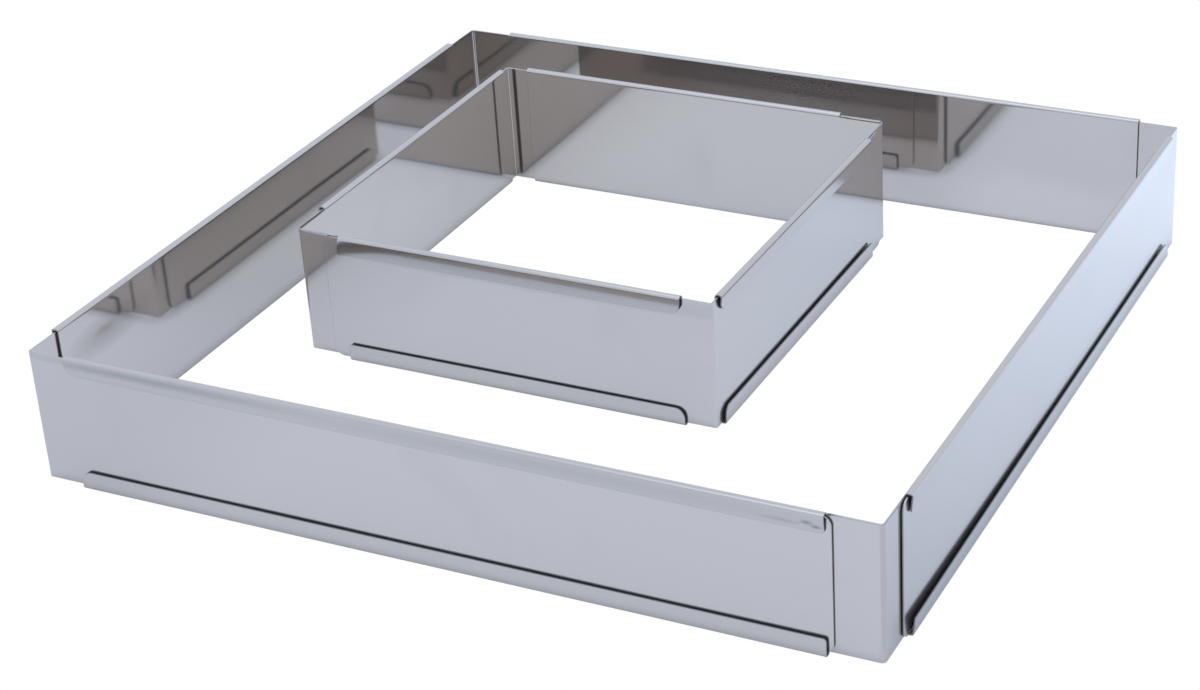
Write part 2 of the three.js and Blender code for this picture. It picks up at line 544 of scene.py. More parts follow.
@dataclass
class FoldingRule:
    """The Geometry Nodes tree that folds a blank into a corner and stands it in its place."""

    tree: Tree = field(init=False)
    inputs: bpy.types.Node = field(init=False)

    WAVE_DETAIL: ClassVar[float] = 1.0
    FADE_POWER: ClassVar[float] = 2.0
    INPUTS: ClassVar[tuple[str, ...]] = (
        "Wall depth",
        "Bend radius",
        "Fold start",
        "Fold radius",
        "Fold flat",
        "Wave height",
        "Wave length",
        "Wave seed",
        "Flare opening",
        "Flare roll",
        "Flare start",
        "Flare length",
        "Flare arm",
        "Flare edge",
        "Lip length",
        "Arm length",
        "Arm change",
        "Top lean",
        "Bottom lean",
        "Turn",
        "Corner x",
        "Corner y",
        "Middle height",
    )

    def __post_init__(self) -> None:
        """Builds the tree."""
        self.tree = bpy.data.node_groups.new("fold_sheet_corner", "GeometryNodeTree")
        interface = self.tree.interface
        interface.new_socket("Geometry", in_out="INPUT", socket_type="NodeSocketGeometry")
        for name in self.INPUTS:
            interface.new_socket(name, in_out="INPUT", socket_type="NodeSocketFloat")
        for name in ("Sheet finish", "Edge finish"):
            interface.new_socket(name, in_out="INPUT", socket_type="NodeSocketMaterial")
        interface.new_socket("Geometry", in_out="OUTPUT", socket_type="NodeSocketGeometry")
        self.inputs = self.tree.nodes.new("NodeGroupInput")
        position = self.tree.nodes.new("GeometryNodeInputPosition")
        along, across, through = split(self.tree, position.outputs[0])
        place, turned = self._folded(along, across, through)
        self._finish(place, turned / math.pi)

    def given(self, name: str) -> Formula:
        """The number that an input gives."""
        return Formula(self.tree, self.inputs.outputs[name])

    def _wave(self, along: Formula, across: Formula) -> Formula:
        """The sheet's slight unevenness, as a height through the sheet.

        Args:
            along: Distance along the strip.
            across: Distance across it.

        Returns:
            The height, about nought.
        """
        length = self.given("Wave length")
        place = joined(self.tree, along / length, across / length, self.given("Wave seed"))
        level = noise_level(self.tree, place, self.WAVE_DETAIL)
        return (level - NOISE_MIDDLE) / NOISE_MIDDLE * self.given("Wave height")

    def _stretched(self, along: Formula) -> Formula:
        """Makes one arm a little longer or shorter than the other, past the start of its lips.

        Args:
            along: Distance along the strip.

        Returns:
            The new distance.
        """
        start = self.given("Flare start")
        share = ((along.size() - start) / (self.given("Arm length") - start)).within(0.0, 1.0)
        return along + along.above(0.0).sign() * self.given("Arm change") * share

    def _sprung(self, along: Formula, across: Formula) -> Formula:
        """One on the lip that has sprung open, and nought on the others."""
        on_arm = (along.sign() * self.given("Flare arm")).above(0.0)
        on_edge = (across.sign() * self.given("Flare edge")).above(0.0)
        return on_arm * on_edge

    def _stand_off(self, along: Formula, side: Formula, share: Formula, sprung: Formula) -> Formula:
        """How far a lip stands off from the upright.

        Every lip leans in towards the wall. A sprung one opens at its start and rolls out.

        Args:
            along: Distance along the strip.
            side: One at the top edge and minus one at the bottom edge.
            share: How far up the lip the point is, from nought to one.
            sprung: One on the lip that has sprung open.

        Returns:
            The distance outward.
        """
        from_start = (along.size() - self.given("Flare start")) / self.given("Flare length")
        nearness = (1.0 - from_start).within(0.0, 1.0).power(self.FADE_POWER)
        top_lean = side.above(0.0) * self.given("Top lean")
        lean = top_lean - side.below(0.0) * self.given("Bottom lean")
        opening = nearness * self.given("Flare opening") * sprung - lean
        # A rolled lip starts at the roll's slope and comes upright evenly by its end
        rolled = self.given("Flare roll") * sprung * self.given("Lip length") * (1.0 - share * 0.5)
        return (opening + rolled) * share

    def _folded(
        self, along: Formula, across: Formula, through: Formula
    ) -> tuple[Socket, Formula]:
        """Where a point of the blank comes to lie in the ring.

        Args:
            along: Distance along the strip, from the middle of its bend.
            across: Distance across it, from its middle.
            through: Height in the sheet, positive towards the outside of the ring.

        Returns:
            The socket that gives the point's place, and the angle that it is folded over.
        """
        quarter = math.pi / 2
        along = self._stretched(along)
        side = across.sign()
        run = across.size()
        sprung = self._sprung(along, across)
        roll = self.given("Flare roll") * sprung
        last_turn = quarter - roll
        radius, flat = self.given("Fold radius"), self.given("Fold flat")
        fold_start = self.given("Fold start")
        second_start = fold_start + radius * quarter + flat
        first = ((run - fold_start) / radius).within(0.0, quarter)
        level = (run - fold_start - radius * quarter).within(0.0, flat)
        second = ((run - second_start) / radius).within(0.0, last_turn)
        past = (run - second_start - radius * last_turn).above(0.0)
        share = (past / self.given("Lip length")).below(1.0)
        turned = first + second + roll * share
        lift = through + self._wave(along, across)
        rise = run.below(fold_start) + radius * first.sin()
        rise = rise - radius * (1.0 - second.cos()) - past
        height = (rise - lift * turned.sin()) * side
        depth = self.given("Wall depth") - radius * (1.0 - first.cos())
        depth = depth - level - radius * second.sin() - lift * turned.cos()
        depth = depth - self._stand_off(along, side, share, sprung)
        return self._bent(along, depth, height), turned

    def _bent(self, along: Formula, depth: Formula, height: Formula) -> Socket:
        """Bends the strip round the ring's corner and stands it in its place.

        Args:
            along: Distance along the strip, from the middle of its bend.
            depth: Distance inward from the ring's wall.
            height: Height above the middle of the strip.

        Returns:
            The socket that gives the point's place.
        """
        eighth = math.pi / 4
        radius = self.given("Bend radius")
        centre = self.given("Wall depth") + radius
        angle = (along / radius).within(-eighth, eighth)
        straight = along - radius * angle
        heading = angle - eighth
        inward = depth - centre
        local_x = centre + straight * heading.cos() - inward * heading.sin()
        local_y = centre + straight * heading.sin() + inward * heading.cos()
        turn = self.given("Turn")
        x = self.given("Corner x") + local_x * turn.cos() - local_y * turn.sin()
        y = self.given("Corner y") + local_x * turn.sin() + local_y * turn.cos()
        return joined(self.tree, x, y, self.given("Middle height") + height)

    def _finish(self, place: Socket, folded: Formula) -> None:
        """Moves the points, keeps how far they are folded and gives the faces their finishes.

        Args:
            place: The socket that gives each point's place.
            folded: Nought on the web and one on a lip that is folded right over.
        """
        nodes, links = self.tree.nodes, self.tree.links
        move = nodes.new("GeometryNodeSetPosition")
        keep = nodes.new("GeometryNodeStoreNamedAttribute")
        keep.inputs["Name"].default_value = FOLDED
        links.new(self.inputs.outputs["Geometry"], keep.inputs["Geometry"])
        folded.feed(keep.inputs["Value"])
        links.new(keep.outputs[0], move.inputs["Geometry"])
        links.new(place, move.inputs["Position"])
        realize = nodes.new("GeometryNodeRealizeInstances")
        links.new(move.outputs[0], realize.inputs[0])
        sheet = nodes.new("GeometryNodeSetMaterial")
        links.new(realize.outputs[0], sheet.inputs["Geometry"])
        links.new(self.inputs.outputs["Sheet finish"], sheet.inputs["Material"])
        rim = nodes.new("GeometryNodeInputNamedAttribute")
        rim.data_type = "BOOLEAN"
        rim.inputs["Name"].default_value = RIM
        edge = nodes.new("GeometryNodeSetMaterial")
        links.new(sheet.outputs[0], edge.inputs["Geometry"])
        links.new(rim.outputs["Attribute"], edge.inputs["Selection"])
        links.new(self.inputs.outputs["Edge finish"], edge.inputs["Material"])
        output = nodes.new("NodeGroupOutput")
        links.new(edge.outputs[0], output.inputs["Geometry"])

    def fold(self, name: str, blank: bpy.types.Mesh, values: dict[str, object]) -> bpy.types.Object:
        """Folds one blank.

        Args:
            name: The name of the piece.
            blank: The blank's mesh.
            values: A value for each input that isn't nought.

        Returns:
            An object at the origin whose plain mesh is the folded piece.
        """
        piece = bpy.data.objects.new(name, blank)
        bpy.context.scene.collection.objects.link(piece)
        modifier = piece.modifiers.new("fold", "NODES")
        modifier.node_group = self.tree
        for item in self.tree.interface.items_tree:
            if item.in_out == "INPUT" and item.name in values:
                modifier[item.identifier] = values[item.name]
        bpy.context.view_layer.update()
        graph = bpy.context.evaluated_depsgraph_get()
        folded = bpy.data.meshes.new_from_object(
            piece.evaluated_get(graph), preserve_all_data_layers=True, depsgraph=graph
        )
        piece.modifiers.clear()
        piece.data = folded
        folded.name = name
        bpy.data.meshes.remove(blank)
        return piece


def shader_group(
    name: str, vector: str, numbers: Sequence[str], result: str
) -> tuple[Tree, bpy.types.Node, Socket]:
    """A shader group that is still empty.

    Args:
        name: The group's name.
        vector: The name of its first input, a vector.
        numbers: The names of its other inputs.
        result: The name of its output, a number.

    Returns:
        The group's tree, the node that gives its inputs and the socket that takes its result.
    """
    tree = bpy.data.node_groups.new(name, "ShaderNodeTree")
    tree.interface.new_socket(vector, in_out="INPUT", socket_type="NodeSocketVector")
    for number in numbers:
        tree.interface.new_socket(number, in_out="INPUT", socket_type="NodeSocketFloat")
    tree.interface.new_socket(result, in_out="OUTPUT", socket_type="NodeSocketFloat")
    inputs = tree.nodes.new("NodeGroupInput")
    output = tree.nodes.new("NodeGroupOutput")
    return tree, inputs, output.inputs[result]


def group_level(tree: Tree, group: Tree, place: Socket, values: dict[str, float]) -> Formula:
    """Places a shader group in a material.

    Args:
        tree: The material's tree.
        group: The group.
        place: The socket that gives the group's vector input.
        values: The group's other inputs, by their names.

    Returns:
        The number that the group gives.
    """
    node = tree.nodes.new("ShaderNodeGroup")
    node.node_tree = group
    tree.links.new(place, node.inputs[0])
    for name, value in values.items():
        node.inputs[name].default_value = value
    return Formula(tree, node.outputs[0])


@dataclass(frozen=True)
class GrainGroup:
    """The shader group for the fine lines that rolling leaves along the sheet."""

    name: str = "rolled_grain"
    detail: float = 3.0
    roughness: float = 0.65

    def build(self) -> Tree:
        """Builds the group.

        Returns:
            A group with the sheet's coordinates as input and the grain's level as output.
        """
        tree, inputs, result = shader_group(self.name, "Sheet", ("Lines", "Stretch"), "Grain")
        along, across, _ = split(tree, inputs.outputs["Sheet"])
        lines = Formula(tree, inputs.outputs["Lines"])
        stretch = Formula(tree, inputs.outputs["Stretch"])
        place = joined(tree, along * lines / stretch, across * lines, 0.0)
        noise_level(tree, place, self.detail, self.roughness).feed(result)
        return tree


@dataclass(frozen=True)
class HandlingGroup:
    """The shader group for the cloudy marks that hands and wiping leave."""

    name: str = "handling_marks"
    detail: float = 4.0
    roughness: float = 0.55
    distortion: float = 0.6
    threshold: float = 0.75
    cover_effect: float = 0.5
    contrast: float = 4.0

    def build(self) -> Tree:
        """Builds the group.

        Returns:
            A group with object coordinates as input and a mask of the marks as output.
        """
        tree, inputs, result = shader_group(self.name, "Place", ("Size", "Cover"), "Marks")
        size = Formula(tree, inputs.outputs["Size"])
        cover = Formula(tree, inputs.outputs["Cover"])
        place = joined(tree, *[part / size for part in split(tree, inputs.outputs["Place"])])
        level = noise_level(tree, place, self.detail, self.roughness, self.distortion)
        marks = (level - self.threshold + cover * self.cover_effect) * self.contrast
        marks.within(0.0, 1.0).feed(result)
        return tree


@dataclass(frozen=True)
class Smudge:
    """A darkened spot on the sheet that paints in shade, and on the left wall a dark reflection: an
    ellipsoid that fades towards its edge.
    """

    place: Spot
    radii: Spot
    strength: float
    # A dark green-grey, for painted shade
    colour: Colour = (0.12, 0.14, 0.13)

    def mask(self, point: Sequence[Formula]) -> Formula:
        """How much of the spot is at a point.

        Args:
            point: The point's x, y and z.

        Returns:
            The spot's strength at its middle, and nought outside it.
        """
        sizes = zip(point, self.place, self.radii)
        shares = [(part - middle) / radius for part, middle, radius in sizes]
        x, y, z = [share * share for share in shares]
        return (1.0 - (x + y + z).root()).within(0.0, 1.0) * self.strength


@dataclass(frozen=True)
class SteelFinish:
    """A finish of the stainless sheet."""

    name: str
    colour: Colour
    folded_colour: Colour
    marked_colour: Colour
    roughness: float
    folded_roughness: float
    grain_roughness: float
    mark_roughness: float
    grain_height: float
    film: float = 0.06
    edge_tint: float = 0.8
    haze: float = 0.7
    haze_roughness: float = 0.45
    haze_ior: float = 1.58
    grain_lines: float = 2600.0
    grain_stretch: float = 60.0
    mark_size: float = 45 * MM
    mark_cover: float = 0.35
    # Spots of painted shade and painted dark reflection
    smudges: tuple[Smudge, ...] = ()

    def build(self, grain_group: Tree, mark_group: Tree) -> bpy.types.Material:
        """Builds the material.

        Args:
            grain_group: The group for the rolled grain.
            mark_group: The group for handling marks.

        Returns:
            The material.
        """
        material = bpy.data.materials.new(self.name)
        material.use_nodes = True
        tree = material.node_tree
        shader = tree.nodes["Principled BSDF"]
        shader.inputs["Metallic"].default_value = 1.0 - self.film
        shader.inputs["Specular Tint"].default_value = (self.edge_tint,) * 3 + (1.0,)
        shader.inputs["Coat Weight"].default_value = self.haze
        shader.inputs["Coat Roughness"].default_value = self.haze_roughness
        shader.inputs["Coat IOR"].default_value = self.haze_ior
        pattern = tree.nodes.new("ShaderNodeUVMap")
        pattern.uv_map = SHEET_UV
        grain_values = {"Lines": self.grain_lines, "Stretch": self.grain_stretch}
        grain = group_level(tree, grain_group, pattern.outputs["UV"], grain_values)
        place = tree.nodes.new("ShaderNodeTexCoord").outputs["Object"]
        mark_values = {"Size": self.mark_size, "Cover": self.mark_cover}
        marks = group_level(tree, mark_group, place, mark_values)
        share = tree.nodes.new("ShaderNodeAttribute")
        share.attribute_name = FOLDED
        folded = (Formula(tree, share.outputs["Fac"]) / WORKED_FOLD).within(0.0, 1.0)
        colour = blended(tree, self.colour, self.folded_colour, folded)
        colour = blended(tree, colour, self.marked_colour, marks)
        # Painted shade: dark spots laid over the colour where shade and a dark reflection fall
        if self.smudges:
            colour = self._smudged(tree, colour, split(tree, place))
        tree.links.new(colour, shader.inputs["Base Color"])
        rough = (grain - NOISE_MIDDLE) * self.grain_roughness + marks * self.mark_roughness
        rough = rough + folded * self.folded_roughness + self.roughness
        rough.within(*ROUGHNESS_LIMITS).feed(shader.inputs["Roughness"])
        bump = tree.nodes.new("ShaderNodeBump")
        bump.inputs["Strength"].default_value = 1.0
        bump.inputs["Distance"].default_value = self.grain_height
        grain.feed(bump.inputs["Height"])
        tree.links.new(bump.outputs["Normal"], shader.inputs["Normal"])
        return material

    def _smudged(self, tree: Tree, colour: Socket, point: Sequence[Formula]) -> Socket:
        """Lays the painted dark spots, painted shade and reflection, over a colour.

        Args:
            tree: The tree to work in.
            colour: The socket that gives the colour.
            point: The x, y and z of the point that is shaded.

        Returns:
            The socket that gives the colour with its painted shade.
        """
        for dark_spot in self.smudges:
            colour = blended(tree, colour, dark_spot.colour, dark_spot.mask(point))
        return colour


# Brown for the painted dark reflection on the large ring's left wall
PAINTED_REFLECTION_BROWN = (0.2, 0.15, 0.115)

POLISHED_SHEET = SteelFinish(
    name="polished_sheet",
    colour=(0.475, 0.41, 0.365),
    folded_colour=(0.45, 0.385, 0.34),
    marked_colour=(0.445, 0.385, 0.34),
    roughness=0.055,
    folded_roughness=0.11,
    grain_roughness=0.03,
    mark_roughness=0.05,
    grain_height=0.0006 * MM,
    smudges=(
        # On the large ring's left wall, near its front: a brown painted reflection
        Smudge(in_mm(-156.2, -116.4, 40.3), in_mm(4, 8, 2), 0.6, PAINTED_REFLECTION_BROWN),
        Smudge(in_mm(-156.2, -114.0, 39.0), in_mm(4, 28, 8), 0.55, PAINTED_REFLECTION_BROWN),
        # On the large ring's front top lip, near its right end: painted shadow at the lip's edge
        Smudge(in_mm(132.6, -157.8, 48.1), in_mm(2.6, 3, 1.0), 0.9),
        Smudge(in_mm(135.6, -157.8, 47.0), in_mm(2.4, 3, 1.0), 0.9),
        Smudge(in_mm(124.0, -157.8, 47.2), in_mm(9, 3, 1.1), 0.35),
        # Along the large ring's front top lip: painted shade just below the hem's fold
        Smudge(in_mm(-112.0, -157.8, 49.5), in_mm(80, 3, 2.3), 0.45),
        Smudge(in_mm(40.0, -157.8, 48.6), in_mm(170, 3, 5), 0.22),
        # Along the small ring's front top lip: painted shade below the hem's fold
        Smudge(in_mm(-36.0, -43.8, 47.0), in_mm(130, 3, 5), 0.42),
    ),
)

# The cut edges are darker than the faces, most of all on the hems: partly the cut steel's own
# duller tone, partly painted shade standing for the dark gaps beside plate ends and lips
SHEARED_EDGE_AND_GAP_SHADE = SteelFinish(
    name="sheared_edge",
    colour=(0.40, 0.35, 0.31),
    folded_colour=(0.23, 0.23, 0.245),
    marked_colour=(0.28, 0.25, 0.23),
    roughness=0.35,
    folded_roughness=0.0,
    grain_roughness=0.2,
    mark_roughness=0.1,
    grain_height=0.004 * MM,
    grain_lines=5000.0,
    grain_stretch=8.0,
)


@dataclass
class Workshop:
    """What every corner is made with: the sheet, the folding rule and the finishes."""

    stock: Stock = field(default_factory=Stock)
    rule: FoldingRule = field(default_factory=FoldingRule)
    sheet_finish: bpy.types.Material = field(init=False)
    edge_finish: bpy.types.Material = field(init=False)

    def __post_init__(self) -> None:
        """Builds the finishes on their shared groups."""
        groups = (GrainGroup().build(), HandlingGroup().build())
        self.sheet_finish = POLISHED_SHEET.build(*groups)
        self.edge_finish = SHEARED_EDGE_AND_GAP_SHADE.build(*groups)

    def common_values(self, corner: Vector, turn: float, seed: float) -> dict[str, object]:
        """The inputs of the folding rule that every corner sets.

        Args:
            corner: Where the outer faces of the ring's two walls meet.
            turn: How far the corner is turned about the vertical.
            seed: Picks the sheet's unevenness.

        Returns:
            The values by the names of the rule's inputs.
        """
        return {
            "Wave height": self.stock.wave_height,
            "Wave length": self.stock.wave_length,
            "Wave seed": seed,
            "Flare length": NO_LENGTH,
            "Lip length": NO_LENGTH,
            "Arm length": NO_LENGTH,
            "Turn": turn,
            "Corner x": corner.x,
            "Corner y": corner.y,
            "Sheet finish": self.sheet_finish,
            "Edge finish": self.edge_finish,
        }


@dataclass
class Corner(ABC):
    """One L-shaped corner of a ring, made to the size and place of its solid."""

    ring: str
    place: Place
    shop: Workshop
    seed: float
    kind: str = ""
    cut: str = ""
    bend_radius: float = 0.0
    column_pitch: float = 6 * MM
    row_pitch: float = 6 * MM
    bend_steps: int = 6
    round_steps: int = 8
    bend_support: float = 0.4 * MM

    # How far a blank moves along and across the sheet's pattern of grain, as its seed grows by one
    PATTERN_STEP: ClassVar[Point] = (2.0, 0.3)

    @property
    def node(self) -> str:
        """The name of the corner's solid."""
        return f"{self.ring}_ring_{self.place.label}_{self.kind}_corner"

    @property
    def sheet_name(self) -> str:
        """The name of the finished piece."""
        return f"{self.ring}_ring_{self.place.label}_{self.cut}_sheet"

    @property
    def body(self) -> str:
        """The name of the body that the corner moves with."""
        bodies = frame["record"]["behaviour"]["bodies"]
        return next(name for name, nodes in bodies.items() if self.node in nodes)

    @property
    def middle_bend_radius(self) -> float:
        """The bend's radius at the middle of the sheet."""
        return self.bend_radius + self.shop.stock.thickness / 2

    @property
    def pattern_place(self) -> Point:
        """Where the corner's blank lies on the sheet's pattern of grain."""
        along, across = self.PATTERN_STEP
        return (along * self.seed, across * self.seed)

    @property
    @abstractmethod
    def reach(self) -> float:
        """How far the corner stands out from the ring's wall."""

    @property
    @abstractmethod
    def wall_depth(self) -> float:
        """How deep the middle of the sheet lies behind the ring's wall."""

    @abstractmethod
    def blank(self, end: float, height: float) -> Blank:
        """The strip that is folded, which runs to an end each way and gives the corner's height."""

    @abstractmethod
    def fold_values(self, end: float, height: float) -> dict[str, object]:
        """The rule's inputs that this kind of corner sets, for its strip's end and height."""

    def strip_end(self, arm: float) -> float:
        """How far the strip runs from the middle of its bend to the end of an arm.

        Args:
            arm: The arm's length, from the outer face of the ring's other wall.

        Returns:
            The distance along the middle of the sheet.
        """
        straight = arm - self.wall_depth - self.middle_bend_radius
        return straight + self.middle_bend_radius * math.pi / 4

    def bend_columns(self) -> list[float]:
        """Columns from the middle of the bend to just past its end."""
        half_bend = self.middle_bend_radius * math.pi / 4
        columns = [half_bend * step / self.bend_steps for step in range(self.bend_steps + 1)]
        return columns + [half_bend + self.bend_support]

    def dress(self, piece: bpy.types.Object) -> None:
        """Lets a folded piece stand for its solid and move with its body."""
        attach(piece, self.body)
        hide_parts(self.node)
        LOG.info("%s rides on %s with %d faces", piece.name, self.body, len(piece.data.polygons))

    def make(self) -> bpy.types.Object:
        """Cuts, folds and dresses the corner.

        Returns:
            The finished piece.
        """
        low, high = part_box(self.node)
        x_side, y_side, _ = self.place.value
        corner = self.place.corner_of(low, high)
        corner -= Vector((x_side * self.reach, y_side * self.reach, 0.0))
        end = self.strip_end(high.x - low.x - self.reach)
        height = high.z - low.z
        name = self.sheet_name
        blank = self.blank(end, height).solid(name, self.shop.stock, self.pattern_place)
        values = self.shop.common_values(corner, self.place.turn, self.seed)
        values["Wall depth"] = self.wall_depth
        values["Bend radius"] = self.middle_bend_radius
        values["Middle height"] = (low.z + high.z) / 2
        values.update(self.fold_values(end, height))
        piece = self.shop.rule.fold(name, blank, values)
        self.dress(piece)
        return piece


@dataclass
class PlainCorner(Corner):
    """A corner of flat sheet whose arms run in the rail corners beside it."""

    kind: str = "plain"
    cut: str = "plain"
    bend_radius: float = 0.4 * MM
    end_radius: float = 3.5 * MM

    @property
    def reach(self) -> float:
        """How far the corner stands out from the ring's wall."""
        return 0.0

    @property
    def wall_depth(self) -> float:
        """How deep the middle of the sheet lies behind the ring's wall."""
        return self.shop.stock.thickness / 2

    def blank(self, end: float, height: float) -> Blank:
        """The strip with round corners at both ends.

        Args:
            end: How far the strip runs each way from the middle of its bend.
            height: The strip's height.

        Returns:
            The blank.
        """
        rows = max(2, round(height / self.row_pitch))

        def columns(inset: float) -> list[float]:
            """The columns of the strip, from one end to the other."""
            bend = self.bend_columns()
            last = end - inset
            radius = self.end_radius - inset
            half = bend + spaced(bend[-1], last - radius, self.column_pitch)
            half += [last - step for step in reversed(corner_steps(radius, self.round_steps)[:-1])]
            return mirrored(half)

        def lay(inset: float) -> list[Point]:
            """The points of the strip, with its outline set in."""
            points = []
            for column in columns(inset):
                drop = round_end(end - inset - abs(column), self.end_radius - inset)
                reach = height / 2 - inset - drop
                points += [(column, reach * (2 * row / rows - 1)) for row in range(rows + 1)]
            return points

        return Blank(lay, grid_faces(numbered(len(columns(0.0)), rows + 1)))

    def fold_values(self, end: float, height: float) -> dict[str, object]:
        """The inputs for a strip without hems: its fold starts past its edges."""
        return {"Fold start": height, "Fold radius": NO_LENGTH}


@dataclass
class RailCorner(Corner):
    """A corner whose arms are hemmed along both edges into channels for the plain arms."""

    kind: str = "rail"
    cut: str = "hemmed"
    bend_radius: float = 1.1 * MM
    channel: Channel = field(default_factory=Channel)
    flare: Flare = field(default_factory=Flare)
    arm_change: float = 0.0

    @property
    def reach(self) -> float:
        """How far the corner stands out from the ring's wall."""
        return self.channel.lip_reach(self.shop.stock)

    @property
    def wall_depth(self) -> float:
        """How deep the middle of the sheet lies behind the ring's wall."""
        return self.channel.web_depth(self.shop.stock)

    def half_columns(self, end: float, inset: float) -> tuple[list[float], int]:
        """Columns from the middle of the bend to the end of an arm.

        Args:
            end: Where the arm ends.
            inset: How far the outline is set in.

        Returns:
            The columns, and how many of them lie before the slit.
        """
        channel = self.channel
        bend = self.bend_columns()
        setback = self.strip_end(channel.lip_setback)
        bare = bend + spaced(bend[-1], setback - channel.slit - inset, self.column_pitch)
        start_radius = channel.lip_start_radius - inset
        end_radius = channel.lip_end_radius - inset
        first, last = setback + inset, end - inset
        lip = [first + step for step in corner_steps(start_radius, self.round_steps)]
        lip += spaced(first + start_radius, last - end_radius, self.column_pitch)
        lip += [last - step for step in reversed(corner_steps(end_radius, self.round_steps)[:-1])]
        return bare + lip, len(bare)

    def hem_rows(self, fold_start: float) -> list[float]:
        """Rows round the hem's fold, from its start to the foot of the lip, without the start."""
        channel, stock = self.channel, self.shop.stock
        quarter = channel.middle_fold_radius(stock) * math.pi / 2
        arc = [quarter * step / channel.fold_steps for step in range(1, channel.fold_steps + 1)]
        second = fold_start + (quarter + channel.flat_under_arm(stock))
        return [fold_start + step for step in arc] + [second] + [second + step for step in arc]

    def blank(self, end: float, height: float) -> Blank:
        """The strip with a lip along both edges of each arm, and slits beside the bare stretch.

        Args:
            end: How far the strip runs each way from the middle of its bend.
            height: The folded corner's height.

        Returns:
            The blank.
        """
        channel, stock = self.channel, self.shop.stock
        fold_start = channel.fold_start(height, stock)
        folds = self.hem_rows(fold_start)
        lip_top = folds[-1] + channel.lip_length(stock)
        bare_reach = {
            1: height / 2 - channel.bare_top_inset,
            -1: height / 2 - channel.bare_bottom_inset,
        }
        upper_rows = [0.0] + spaced(0.0, fold_start - self.bend_support, self.row_pitch)
        web_rows = mirrored(upper_rows + [fold_start])
        half, bare_count = self.half_columns(end, 0.0)
        count = 2 * len(half) - 1
        middle = len(half) - 1
        bare_columns = range(middle - bare_count + 1, middle + bare_count)
        lip_columns = range(middle + bare_count, count)
        far_columns = range(count - lip_columns.start)
        tabs = [(side, members) for members in (lip_columns, far_columns) for side in (-1, 1)]

        def lip_rows(distance: float, inset: float, places: Point) -> list[float]:
            """The rows of a hem up to its lip's edge, at a distance from the middle of the bend."""
            start, stop = places
            drop = round_end(distance - start, channel.lip_start_radius - inset)
            drop += round_end(stop - distance, channel.lip_end_radius - inset)
            length = lip_top - inset - drop - folds[-1]
            steps = range(1, channel.lip_rows + 1)
            return folds + [folds[-1] + length * step / channel.lip_rows for step in steps]

        def web_row(member: int, row: float) -> float:
            """A row of the web, held inside the bare bottom edge beside the bend."""
            if member not in bare_columns:
                return row
            return max(row, channel.bare_margin - bare_reach[-1])

        def lay(inset: float) -> list[Point]:
            """The points of the strip, with its outline set in."""
            along = mirrored(self.half_columns(end, inset)[0])
            places = (along[lip_columns.start], along[-1])
            points = []
            for member, column in enumerate(along):
                points += [(column, web_row(member, row)) for row in web_rows]
            for side, members in tabs:
                for column in [along[member] for member in members]:
                    rows = lip_rows(abs(column), inset, places)
                    points += [(column, side * row) for row in rows]
            for side in (-1, 1):
                edge = side * (bare_reach[side] - inset)
                points += [(along[member], edge) for member in bare_columns]
            return points

        web = numbered(count, len(web_rows))
        faces = grid_faces(web)
        used = count * len(web_rows)
        strips = [(*tab, len(folds) + channel.lip_rows) for tab in tabs]
        strips += [(side, bare_columns, 1) for side in (-1, 1)]
        for side, members, rows in strips:
            foot = -1 if side > 0 else 0
            added = zip(members, numbered(len(members), rows, used))
            lines = [[web[member][foot]] + new for member, new in added]
            faces += grid_faces(lines if side > 0 else [line[::-1] for line in lines])
            used += rows * len(members)
        return Blank(lay, faces)

    def fold_values(self, end: float, height: float) -> dict[str, object]:
        """The inputs for the hems, their lips and the arms.

        Args:
            end: How far the strip runs each way from the middle of its bend.
            height: The folded corner's height.

        Returns:
            The values by the names of the rule's inputs.
        """
        channel, stock, flare = self.channel, self.shop.stock, self.flare
        return {
            "Fold start": channel.fold_start(height, stock),
            "Fold radius": channel.middle_fold_radius(stock),
            "Fold flat": channel.flat_under_arm(stock),
            "Flare opening": flare.opening,
            "Flare roll": flare.roll,
            "Flare start": self.strip_end(channel.lip_setback),
            "Flare length": flare.length,
            "Flare arm": float(flare.arm_side),
            "Flare edge": float(flare.edge_side),
            "Lip length": channel.lip_length(stock),
            "Arm length": end,
            "Arm change": self.arm_change,
            "Top lean": channel.top_lean,
            "Bottom lean": channel.bottom_lean,
        }


@dataclass
class CakeRing:
    """A square ring of two rail corners and two plain corners."""

    name: str
    rail_places: tuple[Place, Place]
    channel: Channel = field(default_factory=Channel)
    flares: dict[Place, Flare] = field(default_factory=dict)
    arm_changes: dict[Place, float] = field(default_factory=dict)
    first_seed: float = 1.0
    seed_step: float = 1.7

    def corners(self, shop: Workshop) -> Iterator[Corner]:
        """The ring's corners.

        Args:
            shop: What they are made with.

        Yields:
            Each corner in turn.
        """
        for order, place in enumerate(Place):
            seed = self.first_seed + self.seed_step * order
            if place in self.rail_places:
                yield RailCorner(
                    self.name,
                    place,
                    shop,
                    seed,
                    channel=self.channel,
                    flare=self.flares.get(place, Flare()),
                    arm_change=self.arm_changes.get(place, 0.0),
                )
            else:
                yield PlainCorner(self.name, place, shop, seed)

    def make(self, shop: Workshop) -> list[bpy.types.Object]:
        """Makes the ring's corners.

        Args:
            shop: What they are made with.

        Returns:
            The finished pieces.
        """
        return [corner.make() for corner in self.corners(shop)]


